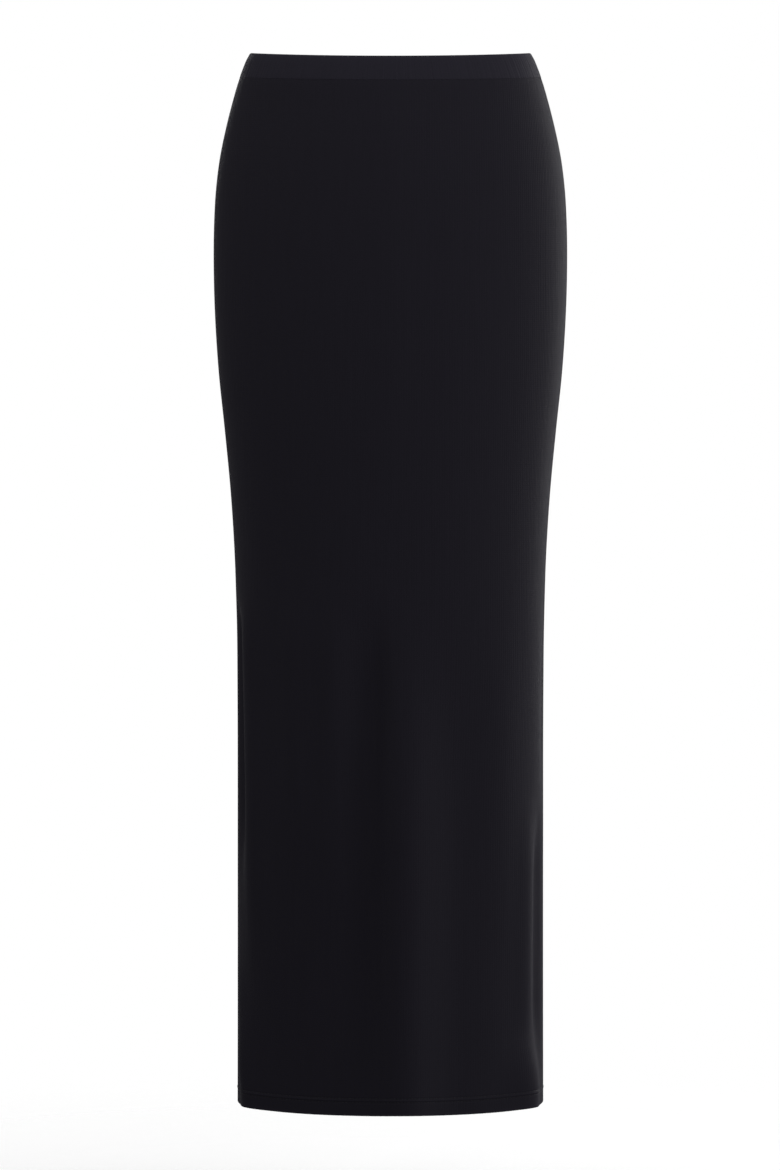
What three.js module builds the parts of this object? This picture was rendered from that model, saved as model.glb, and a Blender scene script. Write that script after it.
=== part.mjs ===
// A long column skirt in stretch jersey, in the hollow shape it takes when it is worn.
// It is a tube of two panels, joined at the side seams, under an elasticated waistband.
//
// Millimetres, +Z up, -Y is the front and +X is on the right of someone looking at the front.
// The origin is the centre of the waist opening, level with the middle of the waistband at the side seams.
// A place on the cloth is a turn, in degrees round from the centre front towards +X, and a drop, in
// millimetres down from the waistband's top edge at the side seams.
import * as THREE from "three";

// Driving dimensions
const skirtLength = 1008; // top edge to hem edge, down a side seam
const bandHeight = 24;
const bandThickness = 3; // two plies of jersey and the elastic between them
const bandStandsProud = 0.5; // how far the band's face lies outside the panels' face
const bandRounding = 0.8; // at the band's four edges
const clothThickness = 1.2;
const hemDepth = 17; // the hem is turned up once
const seamGap = 0.3;

// Where the waistband's edge lies above or below the side seams' level
const waistTilt = 8; // the front hangs this much lower, and the back rides this much higher
const waistScoop = 2.5; // front and back both dip by this much more
const tiltFadesOver = 260; // the drop by which the cloth's rows are level again
const sidesRideUp = 1; // the hem at the sides, over the fullness of the hips
const foldLift = 0.14; // a row of the cloth rises by this share of how far a fold pushes it out

// The outline from the front and the side: half the width, and the depths in front of and behind the
// side seams. Roundness is the superellipse's power, and 2 is an ellipse.
const sections = [
  { drop: 0, halfWidth: 135, front: 85.5, back: 87.5, roundness: 2.1 },
  { drop: 12, halfWidth: 139.4, front: 89.3, back: 91.3, roundness: 2.1 },
  { drop: 25, halfWidth: 144.7, front: 93.4, back: 96.4, roundness: 2.1 },
  { drop: 50, halfWidth: 152.1, front: 98, back: 104, roundness: 2.1 },
  { drop: 75, halfWidth: 158.3, front: 101.8, back: 111.5, roundness: 2.12 },
  { drop: 100, halfWidth: 163.4, front: 104.6, back: 118.5, roundness: 2.14 },
  { drop: 130, halfWidth: 167.2, front: 106.8, back: 125, roundness: 2.16 },
  { drop: 160, halfWidth: 169, front: 108, back: 129, roundness: 2.18 },
  { drop: 195, halfWidth: 169.6, front: 108.6, back: 130.5, roundness: 2.2 },
  { drop: 245, halfWidth: 168.6, front: 108.8, back: 128, roundness: 2.22 },
  { drop: 305, halfWidth: 164.9, front: 108, back: 121.5, roundness: 2.25 },
  { drop: 360, halfWidth: 159.2, front: 106.6, back: 115, roundness: 2.28 },
  { drop: 420, halfWidth: 153.5, front: 105, back: 109.5, roundness: 2.32 },
  { drop: 480, halfWidth: 149.7, front: 103.4, back: 106, roundness: 2.36 },
  { drop: 535, halfWidth: 148, front: 102.2, back: 104, roundness: 2.4 },
  { drop: 620, halfWidth: 147.2, front: 99.5, back: 102, roundness: 2.36 },
  { drop: 765, halfWidth: 147, front: 98, back: 100, roundness: 2.3 },
  { drop: 910, halfWidth: 147.1, front: 97, back: 99, roundness: 2.24 },
  { drop: skirtLength, halfWidth: 147.3, front: 97, back: 98.5, roundness: 2.2 },
];

// Soft folds where the cloth hangs free below the thighs. Each is a ridge, or a trough where its rise is
// negative, as wide as its width in degrees either way, or as its rightWidth to the right if it has one.
// All its other columns but lean are drops: it grows between from and full, and dies away between fades
// and gone, or else runs on to the hem. Its line leans by lean degrees between from and the hem.
const folds = {
  centreRidge: { turn: 8.5, lean: -1, width: 20, rightWidth: 15.5, rise: 13.5, from: 490, full: 740 },
  centreTrough: {
    turn: -8.5, lean: -2, width: 14, rightWidth: 6.5,
    rise: -8, from: 505, full: 630, fades: 840, gone: 1150,
  },
  leftInnerRidge: { turn: -29, lean: -1, width: 7.5, rise: 3.2, from: 500, full: 580, fades: 700, gone: 880 },
  leftOuterRidge: { turn: -47, lean: 0, width: 6, rise: 3, from: 505, full: 575, fades: 680, gone: 820 },
  leftFlank: { turn: -38, lean: 0, width: 18, rightWidth: 22, rise: -2.5, from: 720, full: 900 },
  rightTrough: { turn: 36, lean: 1, width: 12, rightWidth: 14, rise: -3, from: 520, full: 720 },
  rightOuterRidge: { turn: 53, lean: 2, width: 9, rise: 2, from: 520, full: 640, fades: 740, gone: 880 },
  leftSideGroove: { turn: -81, lean: 5, width: 4.5, rise: -8, from: 515, full: 570, fades: 690, gone: 810 },
  leftSideCrest: { turn: -70, lean: 2, width: 5, rise: 3.5, from: 510, full: 570, fades: 760, gone: 930 },
  leftHemCrest: { turn: -82, lean: 16, width: 4.5, rise: 2.6, from: 860, full: 910 },
  leftHemCorner: { turn: -71.5, lean: 2, width: 7, rise: 8, from: 880, full: 980 },
  rightSideGroove: { turn: 82, lean: 0, width: 4, rise: -1.6, from: 520, full: 580, fades: 640, gone: 740 },
  rightLowGroove: { turn: 77, lean: 0, width: 4.5, rise: -5, from: 700, full: 790, fades: 900, gone: 990 },
  rightLowCrest: { turn: 67.5, lean: -1, width: 5, rise: 3, from: 700, full: 790, fades: 890, gone: 990 },
  rightHemCrease: { turn: 70, lean: -12, width: 5, rise: 1.6, from: 940, full: 985 },
  rightHemCorner: { turn: 67.5, lean: 0, width: 7.5, rise: 10, from: 930, full: 990 },
  backLeftRidge: { turn: 193, lean: 2, width: 14, rise: 5, from: 400, full: 640 },
  backTrough: { turn: 177, lean: 0, width: 10, rise: -3.6, from: 440, full: 660, fades: 900, gone: 1200 },
  backRightRidge: { turn: 160, lean: -2, width: 12, rise: 4, from: 430, full: 620, fades: 960, gone: 1300 },
  backRightTrough: { turn: 137, lean: -2, width: 10, rise: -3.4, from: 460, full: 640 },
  backLeftTrough: { turn: 219, lean: 1, width: 11, rise: -3.2, from: 480, full: 700 },
  backOuterRidge: { turn: 238, lean: 3, width: 9, rise: 2.2, from: 540, full: 680, fades: 860, gone: 1040 },
};

// How finely the cloth is sampled
const panelColumns = 40;
const crowding = 0.12; // brings columns closer together towards the side seams, where the folds are narrow
const rowsAbove = 17; // from the waistband to where the folds begin
const rowsBelow = 17; // from there to the top of the hem
const foldsBegin = 490;
const bandColumns = 84;
const hemStep = 0.6; // the drop over which the wall thickens into the hem
const probe = 0.5; // how far apart the points are that give the cloth's slope

const degree = Math.PI / 180;
const bandMiddle = bandHeight / 2;

const outline = new THREE.CubicInterpolant(
  sections.map((section) => section.drop),
  sections.flatMap((section) => [section.halfWidth, section.front, section.back, section.roundness]),
  4,
);

function sectionAt(drop) {
  const [halfWidth, front, back, roundness] = outline.evaluate(drop);
  return { halfWidth, front, back, roundness };
}

// How much of a fold there is at a drop, from 0 to 1
function foldStrength(fold, drop) {
  const grown = THREE.MathUtils.smoothstep(drop, fold.from, fold.full);
  const lost = fold.fades ? THREE.MathUtils.smoothstep(drop, fold.fades, fold.gone) : 0;
  return grown * (1 - lost);
}

// How far the folds push the cloth out, or in where it is negative
function foldRise(turn, drop) {
  let rise = 0;
  for (const fold of Object.values(folds)) {
    const centre = fold.turn + (fold.lean * (drop - fold.from)) / (skirtLength - fold.from);
    const across = THREE.MathUtils.euclideanModulo(turn - centre + 180, 360) - 180;
    const width = across > 0 && fold.rightWidth ? fold.rightWidth : fold.width;
    rise += fold.rise * foldStrength(fold, drop) * Math.exp(-((across / width) ** 2));
  }
  return rise;
}

// A point on the cloth's face: a superellipse, pushed out by the folds, with its rows tilted at the waist
function facePoint(turn, drop) {
  const { halfWidth, front, back, roundness } = sectionAt(drop);
  const sideways = Math.sin(turn * degree);
  const forwards = Math.cos(turn * degree);
  const depth = forwards > 0 ? front : back;
  const acrossPart = Math.abs(sideways / halfWidth) ** roundness;
  const depthPart = Math.abs(forwards / depth) ** roundness;
  const reach = (acrossPart + depthPart) ** (-1 / roundness);
  const rise = foldRise(turn, drop);
  const out = reach + rise;
  const forwardShare = (reach * forwards) / depth;
  const tilt = 1 - THREE.MathUtils.smoothstep(drop, 0, tiltFadesOver);
  const dip =
    tilt * (waistTilt * forwardShare + waistScoop * forwardShare ** 2) +
    (1 - tilt) * sidesRideUp * forwardShare ** 2;
  return new THREE.Vector3(out * sideways, -out * forwards, bandMiddle - drop - dip + foldLift * rise);
}

// The cloth's outward direction. It is square to the seam at the side seams, so that the edges of the
// panels lie flat against each other.
function faceNormal(turn, drop) {
  const above = facePoint(turn, drop - probe);
  const below = facePoint(turn, drop + probe);
  const before = facePoint(turn - probe, drop);
  const after = facePoint(turn + probe, drop);
  const normal = after.sub(before).cross(above.sub(below));
  if (Math.abs(Math.cos(turn * degree)) < 1e-6) normal.y = 0;
  return normal.normalize();
}

// The point of the face at a turn and drop, moved straight out of the cloth
function clothPoint(turn, drop, out) {
  return facePoint(turn, drop).addScaledVector(faceNormal(turn, drop), out);
}

// A closed wall from one loop of points for each column, down the outside and back up the inside.
// Each loop is joined to the next. A ring's last loop meets its first, and a panel's ends are filled in.
function wallGeometry(loops, isRing) {
  const around = loops[0].length;
  const index = [];
  const quad = (a, b, c, d) => index.push(a, b, c, a, c, d);
  const spans = isRing ? loops.length : loops.length - 1;
  for (let column = 0; column < spans; column += 1) {
    const here = column * around;
    const next = ((column + 1) % loops.length) * around;
    for (let step = 0; step < around; step += 1) {
      const on = (step + 1) % around;
      quad(here + step, here + on, next + on, next + step);
    }
  }
  if (!isRing) {
    const last = (loops.length - 1) * around;
    for (let step = 0; step < around / 2 - 1; step += 1) {
      const back = around - 1 - step;
      quad(step, back, back - 1, step + 1);
      quad(last + step, last + step + 1, last + back - 1, last + back);
    }
  }
  const geometry = new THREE.BufferGeometry().setFromPoints(loops.flat());
  geometry.setIndex(index);
  geometry.computeVertexNormals();
  return geometry;
}

// The drops of a panel's rows: closer together where there are folds, with a step at the top of the hem
function panelDrops() {
  const top = bandHeight + seamGap;
  const hemTop = skirtLength - hemDepth;
  const drops = [];
  for (let row = 0; row < rowsAbove; row += 1) {
    drops.push(THREE.MathUtils.lerp(top, foldsBegin, row / rowsAbove));
  }
  for (let row = 0; row <= rowsBelow; row += 1) {
    drops.push(THREE.MathUtils.lerp(foldsBegin, hemTop, row / rowsBelow));
  }
  drops.push(hemTop + hemStep, skirtLength);
  return drops;
}

// A front or back panel, from one side seam to the other about its middle turn
function panel(middleTurn) {
  const drops = panelDrops();
  const thickness = (drop) => (drop > skirtLength - hemDepth ? 2 * clothThickness : clothThickness);
  const loops = [];
  for (let column = 0; column <= panelColumns; column += 1) {
    const across = (2 * column) / panelColumns - 1;
    const turn = middleTurn + 90 * (across + crowding * Math.sin(Math.PI * across));
    const outside = drops.map((drop) => clothPoint(turn, drop, 0));
    const inside = drops.map((drop) => clothPoint(turn, drop, -thickness(drop)));
    loops.push([...outside, ...inside.reverse()]);
  }
  return wallGeometry(loops, false);
}

// The waistband, a ring whose section is a flat band with rounded edges
function waistband() {
  const face = bandStandsProud;
  const lining = bandStandsProud - bandThickness;
  const profile = [
    { drop: 0, out: face - bandRounding },
    { drop: bandRounding, out: face },
    { drop: bandMiddle, out: face },
    { drop: bandHeight - bandRounding, out: face },
    { drop: bandHeight, out: face - bandRounding },
    { drop: bandHeight, out: lining + bandRounding },
    { drop: bandHeight - bandRounding, out: lining },
    { drop: bandMiddle, out: lining },
    { drop: bandRounding, out: lining },
    { drop: 0, out: lining + bandRounding },
  ];
  const loops = [];
  for (let column = 0; column < bandColumns; column += 1) {
    const turn = (360 * column) / bandColumns;
    loops.push(profile.map(({ drop, out }) => clothPoint(turn, drop, out)));
  }
  return wallGeometry(loops, true);
}

// Black viscose jersey: matt, with no metal in it
const jersey = new THREE.MeshStandardMaterial({ color: 0x1b1a1f, roughness: 0.9, metalness: 0 });

function piece(name, geometry) {
  const mesh = new THREE.Mesh(geometry, jersey.clone());
  mesh.name = name;
  return mesh;
}

const frontPanel = piece("front_panel", panel(0));
frontPanel.position.y = -seamGap / 2;

const backPanel = piece("back_panel", panel(180));
backPanel.position.y = seamGap / 2;

const skirt = new THREE.Group();
skirt.add(piece("waistband", waistband()), frontPanel, backPanel);

export default skirt;
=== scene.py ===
import math
import bpy
import numpy as np
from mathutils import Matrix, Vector


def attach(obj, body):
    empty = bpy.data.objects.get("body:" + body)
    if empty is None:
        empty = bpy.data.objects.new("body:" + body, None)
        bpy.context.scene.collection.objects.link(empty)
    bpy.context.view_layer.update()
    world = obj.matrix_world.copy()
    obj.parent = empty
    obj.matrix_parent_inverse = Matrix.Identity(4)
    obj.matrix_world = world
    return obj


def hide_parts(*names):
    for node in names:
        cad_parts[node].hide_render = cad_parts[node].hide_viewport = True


# A long column skirt in black stretch jersey, in the hollow shape that it takes when it is worn.
# Sizes are in millimetres and angles in degrees until a mesh is made, which is in metres.
# A place on the cloth is a turn round from the centre front and a drop down from the waistband's top edge.

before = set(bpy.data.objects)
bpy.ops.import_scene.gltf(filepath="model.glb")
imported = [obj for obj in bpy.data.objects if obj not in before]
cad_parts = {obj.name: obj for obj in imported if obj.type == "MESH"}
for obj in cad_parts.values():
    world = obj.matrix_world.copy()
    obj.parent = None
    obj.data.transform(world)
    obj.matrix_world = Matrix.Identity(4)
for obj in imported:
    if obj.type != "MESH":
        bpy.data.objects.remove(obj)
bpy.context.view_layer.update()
print("frame loaded")

mm = 0.001
tiny = 1e-6


# The shape that the whole skirt shares, with the same values as the solids

skirt = {
    "length": 1008.0,  # top edge to hem edge, down a side seam
    "bandHeight": 24.0,
    "waistTilt": 8.0,  # the front of the waist hangs lower and the back rides higher
    "waistScoop": 2.5,  # front and back both dip by this much more
    "tiltFadesOver": 260.0,
    "sidesRideUp": 1.0,
    "foldLift": 0.14,  # a row rises by this share of how far a fold pushes it out
    "cloth": 1.2,  # thickness
    "probe": 0.5,  # degrees and millimetres to either side, for the points that give a slope
}

# What is measured on that shape, and left between the pieces shown
fitting = {
    "ringTurns": 3601,  # a tenth of a degree apart, to measure the way round
    "waistRadius": 118.0,  # mean radius of the waistband
    "seamGap": 0.02,  # from the waistband to the edge of a panel
}

# drop, half width, depth in front, depth behind, roundness (2 is an ellipse)
sectionRows = np.array([
    (0, 135, 85.5, 87.5, 2.1),
    (12, 139.4, 89.3, 91.3, 2.1),
    (25, 144.7, 93.4, 96.4, 2.1),
    (50, 152.1, 98, 104, 2.1),
    (75, 158.3, 101.8, 111.5, 2.12),
    (100, 163.4, 104.6, 118.5, 2.14),
    (130, 167.2, 106.8, 125, 2.16),
    (160, 169, 108, 129, 2.18),
    (195, 169.6, 108.6, 130.5, 2.2),
    (245, 168.6, 108.8, 128, 2.22),
    (305, 164.9, 108, 121.5, 2.25),
    (360, 159.2, 106.6, 115, 2.28),
    (420, 153.5, 105, 109.5, 2.32),
    (480, 149.7, 103.4, 106, 2.36),
    (535, 148, 102.2, 104, 2.4),
    (620, 147.2, 99.5, 102, 2.36),
    (765, 147, 98, 100, 2.3),
    (910, 147.1, 97, 99, 2.24),
    (skirt["length"], 147.3, 97, 98.5, 2.2),
])

# A fold that runs on to the hem fades below it
past = 2000

# turn, lean over the length, width to the left and to the right, rise,
# and the drops where it begins, is full, begins to fade and is gone
foldRows = {
    "centre ridge": (8.5, -1, 20, 15.5, 13.5, 490, 740, past, past + 1),
    "centre trough": (-8.5, -2, 14, 6.5, -8, 505, 630, 840, 1150),
    "left inner ridge": (-29, -1, 7.5, 7.5, 3.2, 500, 580, 700, 880),
    "left outer ridge": (-47, 0, 6, 6, 3, 505, 575, 680, 820),
    "left flank": (-38, 0, 18, 22, -2.5, 720, 900, past, past + 1),
    "right trough": (36, 1, 12, 14, -3, 520, 720, past, past + 1),
    "right outer ridge": (53, 2, 9, 9, 2, 520, 640, 740, 880),
    "left side groove": (-81, 5, 4.5, 4.5, -8, 515, 570, 690, 810),
    "left side crest": (-70, 2, 5, 5, 3.5, 510, 570, 760, 930),
    "left hem crest": (-82, 16, 4.5, 4.5, 2.6, 860, 910, past, past + 1),
    "left hem corner": (-71.5, 2, 7, 7, 8, 880, 980, past, past + 1),
    "right side groove": (82, 0, 4, 4, -1.6, 520, 580, 640, 740),
    "right low groove": (77, 0, 4.5, 4.5, -5, 700, 790, 900, 990),
    "right low crest": (67.5, -1, 5, 5, 3, 700, 790, 890, 990),
    "right hem crease": (70, -12, 5, 5, 1.6, 940, 985, past, past + 1),
    "right hem corner": (67.5, 0, 7.5, 7.5, 10, 930, 990, past, past + 1),
    "back left ridge": (193, 2, 14, 14, 5, 400, 640, past, past + 1),
    "back trough": (177, 0, 10, 10, -3.6, 440, 660, 900, 1200),
    "back right ridge": (160, -2, 12, 12, 4, 430, 620, 960, 1300),
    "back right trough": (137, -2, 10, 10, -3.4, 460, 640, past, past + 1),
    "back left trough": (219, 1, 11, 11, -3.2, 480, 700, past, past + 1),
    "back outer ridge": (238, 3, 9, 9, 2.2, 540, 680, 860, 1040),
}


def smoothStep(value, low, high):
    # 3t^2 - 2t^3, where t goes from 0 at low to 1 at high
    t = np.clip((value - low) / (high - low), 0, 1)
    return t * t * (3 - 2 * t)


def bump(distance, width):
    # A bell curve: 1 at its middle and 0.37 at its width
    return np.exp(-((distance / width) ** 2))


def turnBetween(turn, centre):
    # The shorter way round from a centre to a turn
    return (turn - centre + 180) % 360 - 180


def unit(vectors):
    # Each vector divided by its length
    return vectors / np.linalg.norm(vectors, axis=-1, keepdims=True)


def lengthAlong(points):
    # The sum of the steps from the first point up to each point
    return np.append(0, np.cumsum(np.linalg.norm(np.diff(points, axis=0), axis=-1)))


def sectionAt(drop):
    # A cubic through the section rows, whose slope at a row is the mean of the slopes on either side
    at, values = sectionRows[:, 0], sectionRows[:, 1:]
    secant = np.diff(values, axis=0) / np.diff(at)[:, None]
    slope = np.concatenate([secant[:1], (secant[1:] + secant[:-1]) / 2, secant[-1:]])
    inside = np.clip(drop, at[0], at[-1])
    span = np.clip(np.searchsorted(at, inside, side="right") - 1, 0, len(at) - 2)
    width = (at[span + 1] - at[span])[..., None]
    t = (inside - at[span])[..., None] / width
    start = (1 + 2 * t) * (1 - t) ** 2 * values[span] + t * (1 - t) ** 2 * width * slope[span]
    end = t * t * (3 - 2 * t) * values[span + 1] + t * t * (t - 1) * width * slope[span + 1]
    return np.moveaxis(start + end, -1, 0)


def foldRise(turn, drop):
    # The sum of the folds, each a bell across and a smooth rise and fall along
    rise = np.zeros(np.broadcast(turn, drop).shape)
    for centre, lean, left, right, height, begins, full, fades, gone in foldRows.values():
        middle = centre + lean * (drop - begins) / (skirt["length"] - begins)
        strength = smoothStep(drop, begins, full) * (1 - smoothStep(drop, fades, gone))
        off = turnBetween(turn, middle)
        rise = rise + height * strength * bump(off, np.where(off < 0, left, right))
    return rise


def facePoints(turn, drop):
    # A superellipse at each drop, pushed out by the folds, with its rows tilted at the waist
    halfWidth, front, back, roundness = sectionAt(drop)
    sideways, forwards = np.sin(np.radians(turn)), np.cos(np.radians(turn))
    depth = np.where(forwards > 0, front, back)
    reach = (abs(sideways / halfWidth) ** roundness + abs(forwards / depth) ** roundness) ** (-1 / roundness)
    rise = foldRise(turn, drop)
    out = reach + rise
    share = reach * forwards / depth
    tilt = 1 - smoothStep(drop, 0, skirt["tiltFadesOver"])
    dip = tilt * (skirt["waistTilt"] * share + skirt["waistScoop"] * share**2)
    dip = dip + (1 - tilt) * skirt["sidesRideUp"] * share**2
    height = skirt["bandHeight"] / 2 - drop - dip + skirt["foldLift"] * rise
    return np.stack([out * sideways, -out * forwards, height], -1)


def faceNormals(turn, drop):
    # The cross product of the slope round the skirt and the slope up it
    step = skirt["probe"]
    around = facePoints(turn + step, drop) - facePoints(turn - step, drop)
    up = facePoints(turn, drop - step) - facePoints(turn, drop + step)
    normal = np.cross(around, up)
    onSeam = abs(np.cos(np.radians(turn))) < tiny
    normal[..., 1] = np.where(onSeam, 0, normal[..., 1])
    return unit(normal)


def clothPoints(turn, drop, out):
    # The face's points moved straight out of the cloth
    turn, drop, out = np.broadcast_arrays(turn, drop, out)
    return facePoints(turn, drop) + faceNormals(turn, drop) * out[..., None]


def evenTurns(drop, spacing, perStep=1):
    # Turns at equal distances all the way round the cloth at one drop
    turn = np.linspace(-180, 180, fitting["ringTurns"])
    distance = lengthAlong(facePoints(turn, np.full_like(turn, drop)))
    steps = round(distance[-1] / spacing) * perStep
    return np.interp(np.linspace(0, distance[-1], steps + 1), distance, turn)


# Meshes

def gridCorners(columns, rows, wrapColumns=False, wrapRows=False):
    # Column and row of the four corners of each quad, counting on past the end where the grid wraps
    c = np.arange(columns if wrapColumns else columns - 1)
    r = np.arange(rows if wrapRows else rows - 1)
    c, r = (grid.ravel() for grid in np.meshgrid(c, r, indexing="ij"))
    return np.stack([c, c, c + 1, c + 1], 1), np.stack([r, r + 1, r + 1, r], 1)


def endCorners(columns, rows):
    # Quads that close both ends of a wall whose rows go down one side and back up the other
    step = np.arange(rows // 2 - 1)
    back = rows - 1 - step
    first = np.stack([step, back, back - 1, step + 1], 1)
    last = np.stack([step, step + 1, back - 1, back], 1)
    c = np.concatenate([np.zeros_like(first), np.full_like(last, columns - 1)])
    return c, np.concatenate([first, last])


def gridPiece(name, points, corners, uv, materialUsed, wearAndHighlight=None, sharpAngle=50):
    # One object from strips of points (strip, column, row), with quads given by column and row
    strips, columns, rows = points.shape[:3]
    c, r = (np.concatenate(part) for part in zip(*corners))
    inStrip = (c % columns) * rows + r % rows
    faces = (np.arange(strips)[:, None, None] * columns * rows + inStrip).reshape(-1, 4)
    mesh = bpy.data.meshes.new(name)
    mesh.from_pydata((points.reshape(-1, 3) * mm).tolist(), [], faces.tolist())
    mesh.polygons.foreach_set("use_smooth", np.ones(len(mesh.polygons), dtype=bool))
    layer = mesh.uv_layers.new(name="cloth")
    layer.data.foreach_set("uv", np.tile(uv[c, r].reshape(-1), strips))
    # Edges rubbed paler, which also carry a painted highlight
    if wearAndHighlight is not None:
        rubbedAndLit = mesh.attributes.new("wearAndHighlight", "FLOAT", "POINT")
        rubbedAndLit.data.foreach_set("value", wearAndHighlight.ravel())
    mesh.set_sharp_from_angle(angle=math.radians(sharpAngle))
    mesh.materials.append(materialUsed)
    piece = bpy.data.objects.new(name, mesh)
    bpy.context.collection.objects.link(piece)
    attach(piece, "root")
    return piece


def roundEndedLoop(low, high, near, far, arc=5):
    # Out along the near side, round a half circle and back along the far side, round again
    radius, middle = abs(near - far) / 2, (near + far) / 2
    angle = np.radians(np.linspace(90, -90, arc))
    bend, swing = radius * np.cos(angle), (near - middle) * np.sin(angle)
    along = np.concatenate([high - radius + bend, low + radius - bend])
    return along, np.concatenate([middle + swing, middle - swing])


# Materials

def hexToLinear(code):
    # The sRGB curve undone for red, green and blue, with an alpha of 1
    channels = [int(code[i:i + 2], 16) / 255 for i in (1, 3, 5)]
    linear = [c / 12.92 if c <= 0.04045 else ((c + 0.055) / 1.055) ** 2.4 for c in channels]
    return (*linear, 1.0)


def addNode(tree, kind, inputs=None, links=None, **settings):
    # A node with its settings, its inputs' own values and the sockets that feed it
    node = tree.nodes.new(kind)
    for key, value in settings.items():
        setattr(node, key, value)
    for key, value in (inputs or {}).items():
        node.inputs[key].default_value = value
    for key, source in (links or {}).items():
        tree.links.new(source, node.inputs[key])
    return node


def mathNode(tree, operation, *terms):
    # Each term is a number or the socket that it comes from
    numbers = {at: term for at, term in enumerate(terms) if isinstance(term, (int, float))}
    sockets = {at: term for at, term in enumerate(terms) if at not in numbers}
    return addNode(tree, "ShaderNodeMath", numbers, sockets, operation=operation).outputs["Value"]


def scaledCloth(tree, **settings):
    # The cloth's own coordinates, in millimetres, scaled or turned
    cloth = addNode(tree, "ShaderNodeUVMap", uv_map="cloth")
    placed = addNode(tree, "ShaderNodeMapping", settings, {"Vector": cloth.outputs["UV"]})
    return placed.outputs["Vector"]


def bumpNode(tree, height, depth, under=None):
    # A height from 0 to 1 that stands up by a depth in millimetres, over another bump if there is one
    links = {"Height": height}
    if under is not None:
        links["Normal"] = under
    node = addNode(tree, "ShaderNodeBump", {"Strength": 1.0, "Distance": depth * mm}, links)
    return node.outputs["Normal"]


def dyedShader(tree, look, paleness, normal, more=None):
    # A rough surface, whose colour goes from its plain dye to its paler one as its paleness goes from 0 to 1
    dye = addNode(
        tree, "ShaderNodeMix", {6: hexToLinear(look["dye"]), 7: hexToLinear(look["dyePale"])},
        {0: paleness}, data_type="RGBA",
    )
    shader = addNode(
        tree, "ShaderNodeBsdfPrincipled",
        {"Roughness": look["roughness"], "Specular IOR Level": look["specular"], **(more or {})},
        {"Base Color": dye.outputs[2], "Normal": normal},
    )
    addNode(tree, "ShaderNodeOutputMaterial", None, {"Surface": shader.outputs["BSDF"]})


def newMaterial(name):
    # A material with an empty node tree
    made = bpy.data.materials.new(name)
    made.use_nodes = True
    made.node_tree.nodes.clear()
    return made, made.node_tree


jerseyLook = {
    "dye": "#1d1b23",
    "dyePale": "#211f28",  # for thicker yarns, for folded edges rubbed paler, and for the painted highlight along those edges
    "roughness": 0.7,
    "specular": 0.1,
    "sheen": 0.06,
    "sheenRoughness": 0.45,
    "sheenTint": "#8c8896",
    # The real loops, 0.8 by 0.6, are too fine to show, so they are drawn at three times the size
    "waleSpacing": 2.4,  # from one column of knit loops to the next
    "courseSpacing": 1.8,  # from one row to the next
    "legMean": 0.7,  # height of a loop's legs, as a share of the knit's depth
    "legRise": 0.3,  # and how far they go above and below it
    "knitDepth": 0.09,
    "slubScale": (0.22, 0.014, 1),  # uneven yarns to a millimetre, across and along
    "slubDetail": 3.0,
    "slubRoughness": 0.6,
    "slubPaleness": 0.6,
    "slubDepth": 0.22,
}

bandLook = {
    **jerseyLook,
    # Dyed paler than the panels: painted light, for the extra light that the band catches from the side
    # lamps
    "dye": "#24222b",
    "dyePale": "#292731",
    "waleSpacing": 2.9,
    "knitDepth": 0.11,
}


def makeJersey(name, look):
    # Single jersey in black viscose with a little elastane: matt, with a soft lift of light at
    # grazing angles from the fine fuzz, and fine columns of V-shaped loops
    made, tree = newMaterial(name)
    loops = scaledCloth(tree, Scale=(1 / look["waleSpacing"], 1 / look["courseSpacing"], 1))
    place = addNode(tree, "ShaderNodeSeparateXYZ", None, {"Vector": loops}).outputs
    # Each loop's two legs slant up from the middle of its column
    slant = mathNode(tree, "PINGPONG", place["X"], 0.5)
    legTurn = mathNode(tree, "MULTIPLY", mathNode(tree, "ADD", place["Y"], slant), 2 * math.pi)
    legWave = mathNode(tree, "SINE", legTurn)
    leg = mathNode(tree, "MULTIPLY_ADD", legWave, look["legRise"], look["legMean"])
    # A column is half a sine across
    columnWave = mathNode(tree, "SINE", mathNode(tree, "MULTIPLY", place["X"], math.pi))
    knit = mathNode(tree, "MULTIPLY", mathNode(tree, "ABSOLUTE", columnWave), leg)
    # Yarns that are a little thicker or thinner leave faint streaks along the columns
    slubs = addNode(
        tree, "ShaderNodeTexNoise",
        {"Scale": 1.0, "Detail": look["slubDetail"], "Roughness": look["slubRoughness"]},
        {"Vector": scaledCloth(tree, Scale=look["slubScale"])},
    ).outputs["Fac"]
    normal = bumpNode(tree, knit, look["knitDepth"], bumpNode(tree, slubs, look["slubDepth"]))
    # Folded edges are rubbed a little paler, and the same mask paints a highlight along them, where their
    # rounded folds catch the light
    rubbedAndLit = addNode(tree, "ShaderNodeAttribute", attribute_name="wearAndHighlight").outputs["Fac"]
    paleness = mathNode(tree, "MULTIPLY_ADD", slubs, look["slubPaleness"], rubbedAndLit)
    fuzz = {
        "Sheen Weight": look["sheen"],
        "Sheen Roughness": look["sheenRoughness"],
        "Sheen Tint": hexToLinear(look["sheenTint"]),
    }
    dyedShader(tree, look, paleness, normal, fuzz)
    return made


threadLook = {
    "dye": "#1e1d22",
    "dyePale": "#26252b",
    "roughness": 0.5,
    "specular": 0.3,
    "plyAngle": 35,
    "twistSpacing": 0.9,  # along the thread, about the real twist of two plies
    "twistUnevenness": 0.4,
    "twistDepth": 0.08,
}


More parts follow.
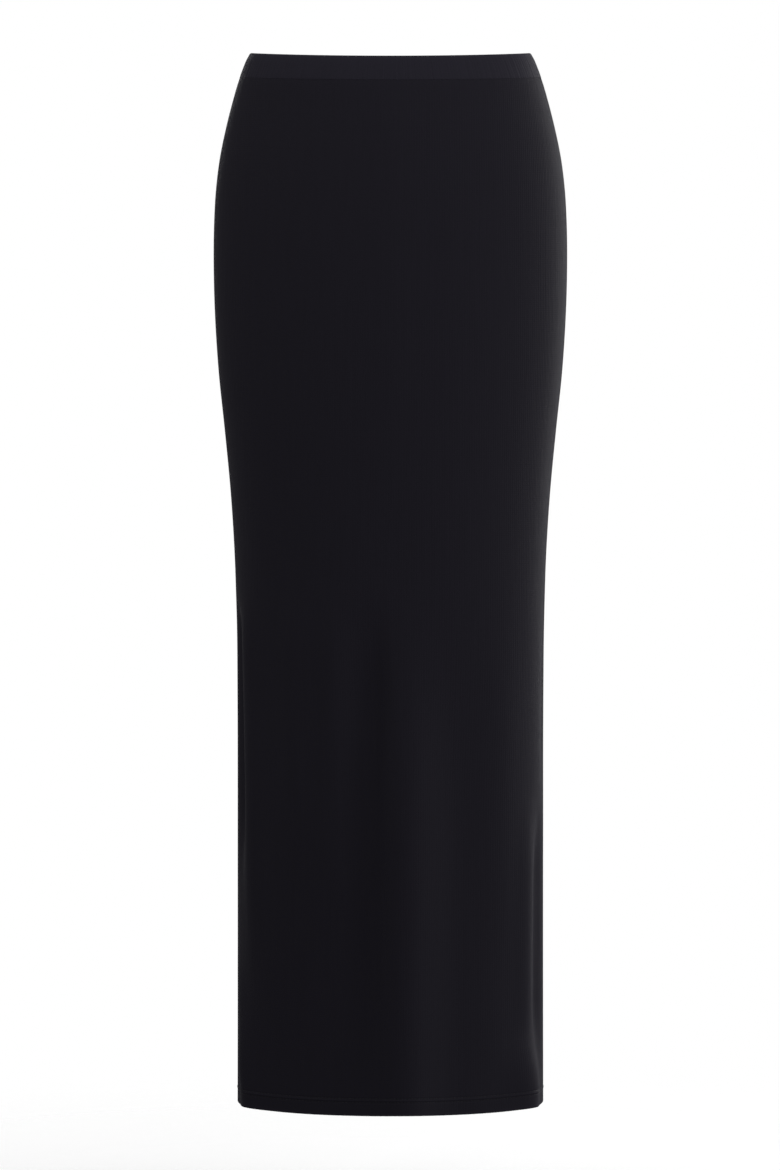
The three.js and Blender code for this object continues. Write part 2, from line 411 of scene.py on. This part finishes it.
def makeThread():
    # Black spun polyester: two plies twisted together, a little smoother and shinier than the cloth
    look = threadLook
    made, tree = newMaterial("black spun polyester thread")
    # At a scale of 1 the waves come every pi / 10
    twist = addNode(
        tree, "ShaderNodeTexWave",
        {"Scale": math.pi / 10 / look["twistSpacing"], "Distortion": look["twistUnevenness"]},
        {"Vector": scaledCloth(tree, Rotation=(0, 0, math.radians(look["plyAngle"])))},
    ).outputs["Fac"]
    dyedShader(tree, look, twist, bumpNode(tree, twist, look["twistDepth"]))
    return made


jersey = makeJersey("black viscose jersey", jerseyLook)
bandJersey = makeJersey("black viscose jersey stretched over elastic", bandLook)
thread = makeThread()
print("materials made")


# Threads

threadMake = {
    "sides": 5,
    "endShare": 0.02,  # of the radius, at both ends of a thread
    "swingSteps": 6,  # points to each swing from side to side
    "sharpAngle": 80,
}


def tubes(paths, outward, radius):
    # Rings round the points of each path, square to it, that shrink almost to a point at both ends
    make = threadMake
    along = unit(np.gradient(paths, axis=1))
    side = unit(np.cross(along, outward))
    lift = np.cross(side, along)
    angle = np.linspace(0, 2 * np.pi, make["sides"], endpoint=False)[:, None]
    ring = np.cos(angle) * side[:, :, None] - np.sin(angle) * lift[:, :, None]
    size = np.full(paths.shape[1], radius)
    size[[0, -1]] = radius * make["endShare"]
    return paths[:, :, None] + size[:, None, None] * ring


def threadPiece(name, turn, drop, out, radius):
    # Tubes along paths over the cloth, laid out flat as length by girth
    make = threadMake
    paths = clothPoints(turn, drop, out)
    points = tubes(paths, faceNormals(turn, drop), radius)
    around = np.linspace(0, 2 * np.pi * radius, make["sides"] + 1)
    uv = np.stack(np.meshgrid(lengthAlong(paths[0]), around, indexing="ij"), -1)
    corners = [gridCorners(paths.shape[1], make["sides"], wrapRows=True)]
    return gridPiece(name, points, corners, uv, thread, sharpAngle=make["sharpAngle"])


def swings(count):
    # A sine that goes from side to side and back once in every few points
    return np.sin(2 * np.pi * np.arange(count) / threadMake["swingSteps"])


# Hem stitching

hemMake = {
    "depth": 17.0,  # how much cloth is turned up
    "upperRow": 16.4,  # above the hem's edge
    "lowerRow": 12.8,
    "rowDip": 0.28,  # each row of stitches pulls the cloth in
    "rowDipWidth": 0.9,
    "tunnelRise": 0.4,  # and the cloth between the rows stands up
    "tunnelWidth": 1.3,
    "stitch": 3.3,  # from one needle hole to the next
    "stitchPoints": 7,
    "stitchFrom": 0.07,  # shares of the way from hole to hole
    "stitchTo": 0.93,
    "stitchDive": 0.75,  # depth of a stitch's ends
    "stitchProud": 0.6,  # height of its middle over the cloth, in radii of the thread
    "stitchBow": 0.35,  # a lower power makes a flatter arch
    "thread": 0.24,  # radius, drawn half as thick again as the real one
    "looperPitch": 3.3,
    "looperSwing": 2.0,
    "looperClear": 1.1,  # from the cloth to its middle, in radii
}


def hemRelief(drop):
    # A dip at each of the two rows and a low ridge between them
    make = hemMake
    above = skirt["length"] - drop
    upper = bump(above - make["upperRow"], make["rowDipWidth"])
    lower = bump(above - make["lowerRow"], make["rowDipWidth"])
    between = bump(above - (make["upperRow"] + make["lowerRow"]) / 2, make["tunnelWidth"])
    return make["tunnelRise"] * between - make["rowDip"] * (upper + lower)


def topStitches(name, above):
    # Short arches that stand on the cloth and dive into it at both ends
    make = hemMake
    holes = evenTurns(skirt["length"] - above, make["stitch"])
    share = np.linspace(make["stitchFrom"], make["stitchTo"], make["stitchPoints"])
    turn = holes[:-1, None] + np.diff(holes)[:, None] * share
    drop = np.full_like(turn, skirt["length"] - above)
    arch = np.sin(np.pi * np.linspace(0, 1, make["stitchPoints"])) ** make["stitchBow"]
    dive = make["stitchDive"]
    out = -dive + (dive - make["rowDip"] + make["thread"] * make["stitchProud"]) * arch
    return threadPiece(name, turn, drop, out, make["thread"])


def looperThread():
    # A thread that swings from row to row on the inside of the hem and covers the cut edge
    make = hemMake
    middle = skirt["length"] - (make["upperRow"] + make["lowerRow"]) / 2
    turn = evenTurns(middle, make["looperPitch"], threadMake["swingSteps"])[None]
    drop = middle + make["looperSwing"] * swings(turn.shape[1])[None]
    out = -2 * skirt["cloth"] - make["thread"] * make["looperClear"]
    return threadPiece("hem_looper_thread", turn, drop, out, make["thread"])


hemUpperRow = topStitches("hem_stitches_upper", hemMake["upperRow"])
hemLowerRow = topStitches("hem_stitches_lower", hemMake["lowerRow"])
hemLooper = looperThread()
print("hem stitching made")


# Gathers that the elastic leaves at the waist

gathers = {
    "spacing": 5.6,
    "runs": ((1.0, 0.3), (0.73, 1.9), (1.37, 4.1)),  # share of the usual count, and offset
    "drift": 0.8,  # how far a wave strays from its place
    "driftWaves": 9,
}


def waistPuckers(turn):
    # The mean of three runs of waves whose spacing drifts, so that no two gathers are alike
    count = 2 * math.pi * fitting["waistRadius"] / gathers["spacing"]
    waves = 0
    for share, offset in gathers["runs"]:
        drift = gathers["drift"] * np.sin(np.radians(turn) * gathers["driftWaves"] + offset)
        waves = waves + np.sin(np.radians(turn) * round(count * share) + offset + drift)
    return waves / len(gathers["runs"])


def waistGirth(columns):
    # Each column's angle times the mean radius
    return np.radians(np.linspace(0, 360, columns + 1)) * fitting["waistRadius"]


# Front and back panels

panelMake = {
    "columns": 181,
    "crowding": 0.26,  # brings columns together at the side seams
    "longRows": 140,  # down the length
    "hemRows": 46,  # over the hem and its stitching
    "hemZone": 26.0,
    "hemArc": 5,  # points round the fold at the bottom edge
    "seamTurn": 0.14,  # radius where the top edge turns in at the waist seam
    "seamArc": 4,
    "sideDip": 0.45,
    "sideDipWidth": 1.3,
    "puckerDepth": 0.1,
    "puckersFade": 9.0,
    "frontCrown": 1.0,  # a very soft ridge down the centre front
    "crownWidth": 20.0,
    "pressRise": 0.12,  # and a faint pressed line along it
    "pressWidth": 3.0,
    "pressTurn": 0.5,
    "pressTop": (26, 70),  # drops where both begin and are full
    "pressBottom": (300, 560),  # and where they fade and are gone
    "wearAndHighlightWidth": 2.5,  # how far up from the hem's edge the rubbed paleness and painted highlight reach
}


def panelRelief(turn, drop):
    # The sum of the small forms that the solids leave out: the dip at the side seams, the gathers
    # below the waistband, the pressed line down the front and the rows of the hem
    make = panelMake
    halfWidth, front = sectionAt(drop)[:2]
    seamDistance = abs(90 - abs(turnBetween(turn, 0))) * math.pi / 180 * halfWidth
    relief = -make["sideDip"] * bump(seamDistance, make["sideDipWidth"])
    fading = bump(drop - skirt["bandHeight"], make["puckersFade"])
    relief = relief + make["puckerDepth"] * waistPuckers(turn) * fading
    pressed = smoothStep(drop, *make["pressTop"]) * (1 - smoothStep(drop, *make["pressBottom"]))
    fromMiddle = np.radians(turnBetween(turn, make["pressTurn"])) * front
    relief = relief + make["frontCrown"] * pressed * bump(fromMiddle, make["crownWidth"])
    relief = relief + make["pressRise"] * pressed * bump(fromMiddle, make["pressWidth"])
    return relief + hemRelief(drop)


def panelProfile():
    # Drops and depths of one closed loop: down the outside, round the hem's fold, up the inside
    make = panelMake
    top, bottom, cloth = skirt["bandHeight"] + fitting["seamGap"], skirt["length"], skirt["cloth"]
    zone, turned = bottom - make["hemZone"], make["seamTurn"]
    bendIn = np.radians(np.linspace(0, 90, make["seamArc"] + 1))[:-1]
    bendUp = np.radians(np.linspace(0, 90, make["hemArc"] + 1))[1:]
    long = np.linspace(top + turned, zone, make["longRows"], endpoint=False)
    hem = np.linspace(zone, bottom - cloth, make["hemRows"])
    outDrop = np.concatenate([
        top + turned * (1 - np.cos(bendIn)), long, hem, bottom - cloth + cloth * np.sin(bendUp),
    ])
    outDepth = np.concatenate([
        turned * (np.sin(bendIn) - 1), np.zeros(len(long) + len(hem)), cloth * np.cos(bendUp) - cloth,
    ])
    inner = np.where(outDrop > bottom - hemMake["depth"], -2 * cloth, -cloth)
    inner = inner - np.where(outDrop > zone, outDepth, 0)
    return np.concatenate([outDrop, outDrop[::-1]]), np.concatenate([outDepth, inner[::-1]])


def makePanel(name, node, middle):
    # The closed profile swept round half of the skirt, with its columns crowded towards the seams
    make = panelMake
    across = np.linspace(-1, 1, make["columns"])
    turn = middle + 90 * (across + make["crowding"] * np.sin(np.pi * across))
    drop, depth = panelProfile()
    turnGrid, dropGrid = np.meshgrid(turn, drop, indexing="ij")
    points = clothPoints(turnGrid, dropGrid, depth + panelRelief(turnGrid, dropGrid))
    # The cloth's grain runs straight down the middle of the panel
    steps = np.linalg.norm(np.diff(facePoints(turnGrid, dropGrid), axis=0), axis=-1)
    girth = np.concatenate([np.zeros((1, len(drop))), np.cumsum(steps, axis=0)])
    uv = np.stack([girth - girth[len(turn) // 2], dropGrid], -1)
    uv = np.concatenate([uv, uv[:, :1]], 1)
    # The hem's folded edge: rubbed paler, with a painted highlight along it
    wearAndHighlight = bump(skirt["length"] - dropGrid, make["wearAndHighlightWidth"])
    corners = [gridCorners(len(turn), len(drop), wrapRows=True), endCorners(len(turn), len(drop))]
    panel = gridPiece(name, points[None], corners, uv, jersey, wearAndHighlight)
    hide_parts(node)
    return panel


# Waistband

bandMake = {
    "columns": 720,
    "thickness": 3.0,
    "proud": 0.15,  # in front of the panels, at the seam
    "crown": 0.5,  # and more than that half-way up, over the elastic
    "rollIn": 0.8,  # the top edge rolls inwards
    "rollOver": 9.0,
    "topArc": 8,
    "cornerRadius": 0.16,
    "cornerArc": 3,
    "faceRows": 12,
    "puckerDepth": 0.13,
    "puckersAtTop": 0.35,  # share of the depth along the top edge
    "puckersGrow": (2, 20),  # drops where they begin to deepen and are full
    "wearAndHighlightWidth": 3.0,  # how far down from the top edge the rubbed paleness and painted highlight reach
}


def bandProfile():
    # Down the outside from the top fold, round the bottom corners and back up the inside
    make = bandMake
    fold, corner = make["thickness"] / 2, make["cornerRadius"]
    bottom = skirt["bandHeight"] - fitting["seamGap"]
    face, lining = make["proud"], make["proud"] - make["thickness"]
    over = np.radians(np.linspace(180, 0, 2 * make["topArc"] + 1))
    turnIn = np.radians(np.linspace(0, 90, make["cornerArc"] + 1))
    wall = np.linspace(fold, bottom - corner, make["faceRows"])[1:-1]
    around = bottom - corner + corner * np.sin(turnIn)
    drop = np.concatenate([fold - fold * np.sin(over), wall, around, around[::-1], wall[::-1]])
    depth = np.concatenate([
        face - fold + fold * np.cos(over),
        np.full(len(wall), face),
        face - corner + corner * np.cos(turnIn),
        lining + corner - corner * np.cos(turnIn)[::-1],
        np.full(len(wall), lining),
    ])
    crown = make["crown"] * np.sin(np.pi * np.clip(drop / bottom, 0, 1)) * (depth > lining + fold)
    roll = make["rollIn"] * (1 - smoothStep(drop, 0, make["rollOver"]))
    return drop, depth + crown - roll


def makeBand():
    # The closed profile swept all the way round, with puckers that deepen away from the top edge
    make = bandMake
    drop, depth = bandProfile()
    turn = np.linspace(0, 360, make["columns"], endpoint=False)
    turnGrid, dropGrid = np.meshgrid(turn, drop, indexing="ij")
    atTop = make["puckersAtTop"]
    strength = atTop + (1 - atTop) * smoothStep(dropGrid, *make["puckersGrow"])
    relief = make["puckerDepth"] * waistPuckers(turnGrid) * strength
    points = clothPoints(turnGrid, dropGrid, depth + relief)
    profile = np.stack([drop, depth], -1)
    height = lengthAlong(np.append(profile, profile[:1], axis=0))
    uv = np.stack(np.meshgrid(waistGirth(make["columns"]), height, indexing="ij"), -1)
    # The top fold: rubbed paler, with a painted highlight along it
    wearAndHighlight = bump(dropGrid, make["wearAndHighlightWidth"])
    corners = [gridCorners(len(turn), len(drop), wrapColumns=True, wrapRows=True)]
    band = gridPiece("waistband_jersey", points[None], corners, uv, bandJersey, wearAndHighlight)
    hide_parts("waistband")
    return band


frontPanel = makePanel("front_panel_jersey", "front_panel", 0)
backPanel = makePanel("back_panel_jersey", "back_panel", 180)
print("panels made")
waistband = makeBand()
print("waistband made")


# Seam allowances, on the inside, with their cut edges overlocked

allowance = {
    "width": 6.5,
    "near": -1.3,  # depth of the side against the cloth
    "far": -3.1,  # and of the side that faces in
    "fromSeam": 0.4,
    "sideTop": 31.6,
    "sideBottom": 990.4,
    "sideRows": 160,
    "sideWave": 0.25,  # how far its cut edge wanders
    "sideWaveLength": 23,  # for each radian
    "waistTop": 24.1,
    "waistColumns": 360,
    "waistRipple": 0.15,
    "rippleFrom": 3,  # below its top
    "closing": 1,  # length of cloth given to the last step of a loop
    "stitch": 2.6,
    "stitchSwing": 1.6,
    "stitchIn": 5.2,  # middle of the stitching from the seam
    "stitchLift": 0.8,  # from the face to the thread's middle, in radii
    "thread": 0.22,
}


def awayFromSide(side, drop, distance):
    # The turn at a distance behind a side seam, which is that distance over the half width
    return side * (90 + np.degrees(distance / sectionAt(drop)[0]))


def loopLength(first, second):
    # The way round a closed loop of points
    distance = lengthAlong(np.stack([first, second], -1))
    return np.append(distance, distance[-1] + allowance["closing"])


def sideAllowance(name, side):
    # A flat strip down the inside of a side seam, folded towards the back, whose cut edge wanders
    make = allowance
    away, depth = roundEndedLoop(make["fromSeam"], make["width"], make["far"], make["near"])
    if side < 0:
        away, depth = away[::-1], depth[::-1]
    drop = np.linspace(make["sideTop"], make["sideBottom"], make["sideRows"])
    dropGrid, awayGrid = np.meshgrid(drop, away, indexing="ij")
    wave = make["sideWave"] * np.sin(dropGrid / make["sideWaveLength"] + side)
    wave = wave * (awayGrid / make["width"]) ** 2
    points = clothPoints(awayFromSide(side, dropGrid, awayGrid + wave), dropGrid, depth)
    uv = np.stack(np.meshgrid(drop, loopLength(away, depth), indexing="ij")[::-1], -1)
    corners = [gridCorners(len(drop), len(away), wrapRows=True), endCorners(len(drop), len(away))]
    return gridPiece(name, points[None], corners, uv, jersey, np.zeros(dropGrid.shape))


def waistAllowance():
    # A flat ring that hangs inside the waist seam, rippled like the gathers
    make = allowance
    top = make["waistTop"]
    drop, depth = roundEndedLoop(top, top + make["width"], make["near"], make["far"])
    turn = np.linspace(0, 360, make["waistColumns"], endpoint=False)
    turnGrid, dropGrid = np.meshgrid(turn, drop, indexing="ij")
    ripple = make["waistRipple"] * waistPuckers(turnGrid) * (dropGrid > top + make["rippleFrom"])
    points = clothPoints(turnGrid, dropGrid + ripple, depth)
    girth = waistGirth(make["waistColumns"])
    uv = np.stack(np.meshgrid(girth, loopLength(drop, depth), indexing="ij"), -1)
    corners = [gridCorners(len(turn), len(drop), wrapColumns=True, wrapRows=True)]
    still = np.zeros(dropGrid.shape)
    return gridPiece("waist_seam_allowance", points[None], corners, uv, jersey, still)


def overlockSwing(count):
    # How far the looper is from the middle of its path, and how far over the cut edge, from 0 to 1,
    # which is the cube of its share of the way across
    swing = swings(count)
    return allowance["stitchSwing"] * swing, ((1 + swing) / 2) ** 3


def overlockDepth(over):
    # On the face of the allowance, and down to the middle of its edge at the far end of each swing
    make = allowance
    onFace = make["far"] - make["thread"] * make["stitchLift"]
    return onFace + (make["near"] - make["far"]) / 2 * over


def sideOverlock(name, side):
    # A thread that swings across the allowance all the way down it
    make = allowance
    stitches = round((make["sideBottom"] - make["sideTop"]) / make["stitch"])
    steps = stitches * threadMake["swingSteps"]
    drop = np.linspace(make["sideTop"], make["sideBottom"], steps + 1)[None]
    swing, over = overlockSwing(drop.shape[1])
    turn = awayFromSide(side, drop, make["stitchIn"] + swing)
    return threadPiece(name, turn, drop, overlockDepth(over), make["thread"])


def waistOverlock():
    # The same thread round the waist's allowance
    make = allowance
    middle = make["waistTop"] + make["stitchIn"]
    turn = evenTurns(middle, make["stitch"], threadMake["swingSteps"])[None]
    swing, over = overlockSwing(turn.shape[1])
    drop = middle + swing[None]
    return threadPiece("waist_overlock_thread", turn, drop, overlockDepth(over), make["thread"])


leftAllowance = sideAllowance("left_side_seam_allowance", -1)
rightAllowance = sideAllowance("right_side_seam_allowance", 1)
waistSeam = waistAllowance()
leftOverlock = sideOverlock("left_side_overlock_thread", -1)
rightOverlock = sideOverlock("right_side_overlock_thread", 1)
waistStitching = waistOverlock()
print("seam allowances made")


# Studio

studio = {
    "floorBelowHem": 115.0,
    "floorRadius": 1100.0,
    "floorSides": 96,
    "floorFadesFrom": 250.0,
    "floorClearAt": 0.95,  # share of its radius
    "floorGlow": 0.45,
    "distance": 4200.0,
    "cameraDrop": 406.0,  # below the waistband's top edge
    "cameraAside": -0.4,
    "lookBelowHem": 13.0,
    "sensor": 36.0,
    "framing": 1.0025,
    "millimetresTall": 0.964 * 1170,  # millimetres to a pixel times the height of the photo
    "fillOfBackdrop": 0.218,
}

# Each light's place, aim, size and power in watts
lights = {
    "overhead softbox": ([300, -900, 1700], [0, 0, -100], [1600, 1600], 3.2),
    "waist softbox": ([800, -1400, 1050], [0, 0, 0], [1200, 500], 3.8),
    "right top softbox": ([1100, -600, 1500], [0, 0, 0], [500, 500], 2.3),
    "left softbox": ([-2600, -1900, 700], [0, 0, -490], [1200, 1600], 8.2),
    "left front softbox": ([-900, -1500, 600], [0, 0, -150], [400, 400], 3.0),
    "left middle softbox": ([-1400, -1300, -350], [-60, -80, -380], [400, 400], 0.7),
    "left side strip": ([-2900, 200, 400], [0, 0, -400], [700, 1600], 1.9),
    "high left softbox": ([-1100, 250, 1150], [0, 0, -100], [600, 900], 1.5),
    "left back rim": ([-550, 1100, 300], [-150, 0, -150], [200, 500], 1.1),
    "far left back rim": ([-1300, 2500, 300], [0, 0, -300], [500, 1600], 0.33),
    "low left rim": ([-780, 480, -600], [-120, 0, -640], [150, 350], 0.074),
    "right softbox": ([2600, -1300, 200], [0, 0, -490], [1200, 2000], 16.4),
    "right side strip": ([2200, -500, -700], [0, 0, -800], [400, 1200], 1.9),
    "low right strip": ([1500, -500, -1000], [0, 0, -900], [400, 700], 2.2),
    "right rim": ([2500, 1350, 300], [0, 0, -490], [800, 2200], 22.5),
    "right back rim": ([1900, 2300, 300], [0, 0, -490], [800, 2200], 18.2),
}


def turnedTo(direction):
    # The rotation that points an object's -Z along a direction
    return Vector(direction).to_track_quat("-Z", "Y").to_euler()


def makeFloor():
    # A pale disc that fades out at its rim into the backdrop
    made, tree = newMaterial("pale studio floor")
    place = addNode(tree, "ShaderNodeTexCoord").outputs["Object"]
    flat = addNode(tree, "ShaderNodeVectorMath", {1: (1, 1, 0)}, {0: place}, operation="MULTIPLY")
    radius = addNode(
        tree, "ShaderNodeVectorMath", None, {0: flat.outputs["Vector"]}, operation="LENGTH",
    )
    clearAt = studio["floorRadius"] * mm * studio["floorClearAt"]
    fade = addNode(
        tree, "ShaderNodeMapRange",
        {"From Min": studio["floorFadesFrom"] * mm, "From Max": clearAt, "To Min": 0.0, "To Max": 1.0},
        {"Value": radius.outputs["Value"]}, interpolation_type="SMOOTHSTEP",
    )
    paper = addNode(
        tree, "ShaderNodeBsdfPrincipled",
        {
            "Base Color": hexToLinear("#f4f4f4"), "Roughness": 0.9, "Specular IOR Level": 0.1,
            "Emission Color": (1, 1, 1, 1), "Emission Strength": studio["floorGlow"],
        },
    )
    clear = addNode(tree, "ShaderNodeBsdfTransparent")
    mixed = addNode(
        tree, "ShaderNodeMixShader", None,
        {0: fade.outputs["Result"], 1: paper.outputs["BSDF"], 2: clear.outputs["BSDF"]},
    )
    addNode(tree, "ShaderNodeOutputMaterial", None, {"Surface": mixed.outputs["Shader"]})
    sides = studio["floorSides"]
    angle = np.linspace(0, 2 * np.pi, sides, endpoint=False)
    level = skirt["bandHeight"] / 2 - skirt["length"] - studio["floorBelowHem"]
    rim = np.stack([np.cos(angle), np.sin(angle), np.zeros(sides)], 1) * studio["floorRadius"]
    mesh = bpy.data.meshes.new("floor")
    mesh.from_pydata(((rim + [0, 0, level]) * mm).tolist(), [], [list(range(sides))])
    mesh.materials.append(made)
    floor = bpy.data.objects.new("floor", mesh)
    bpy.context.collection.objects.link(floor)
    floor.visible_diffuse = False
    floor.visible_glossy = False


def addLight(name, place, aim, size, power):
    # A rectangle that shines from its place towards its aim and isn't seen itself
    lamp = bpy.data.lights.new(name, "AREA")
    lamp.shape = "RECTANGLE"
    lamp.size, lamp.size_y = size[0] * mm, size[1] * mm
    lamp.energy = power
    lit = bpy.data.objects.new(name, lamp)
    bpy.context.collection.objects.link(lit)
    lit.location = np.array(place) * mm
    lit.visible_camera = False
    lit.rotation_euler = turnedTo(np.array(aim) - np.array(place))


def makeBackdrop():
    # White where the camera sees it, and a dim even fill for everything else
    world = bpy.data.worlds.new("white studio")
    bpy.context.scene.world = world
    world.use_nodes = True
    tree = world.node_tree
    tree.nodes.clear()
    rays = addNode(tree, "ShaderNodeLightPath")
    strength = addNode(
        tree, "ShaderNodeMapRange", {"To Min": studio["fillOfBackdrop"], "To Max": 1.0},
        {"Value": rays.outputs["Is Camera Ray"]},
    )
    light = addNode(
        tree, "ShaderNodeBackground", {"Color": (1, 1, 1, 1)}, {"Strength": strength.outputs["Result"]},
    )
    addNode(tree, "ShaderNodeOutputWorld", None, {"Surface": light.outputs["Background"]})


def makeCamera():
    # A lens whose frame is as many millimetres tall, where the skirt is, as the photo's
    lens = bpy.data.cameras.new("camera")
    camera = bpy.data.objects.new("camera", lens)
    bpy.context.collection.objects.link(camera)
    top, aside = skirt["bandHeight"] / 2, studio["cameraAside"]
    centre = np.array([aside, 0.0, top - (skirt["length"] + studio["lookBelowHem"]) / 2])
    place = np.array([aside, -studio["distance"], top - studio["cameraDrop"]])
    camera.location = place * mm
    camera.rotation_euler = turnedTo(centre - place)
    reach = np.linalg.norm(centre - place)
    lens.sensor_fit = "AUTO"
    lens.sensor_width = studio["sensor"]
    lens.lens = studio["sensor"] * reach / studio["millimetresTall"] * studio["framing"]
    bpy.context.scene.camera = camera


makeFloor()
for lightName, values in lights.items():
    addLight(lightName, *values)
makeBackdrop()
makeCamera()
bpy.context.scene.view_settings.view_transform = "Standard"
print("studio made")
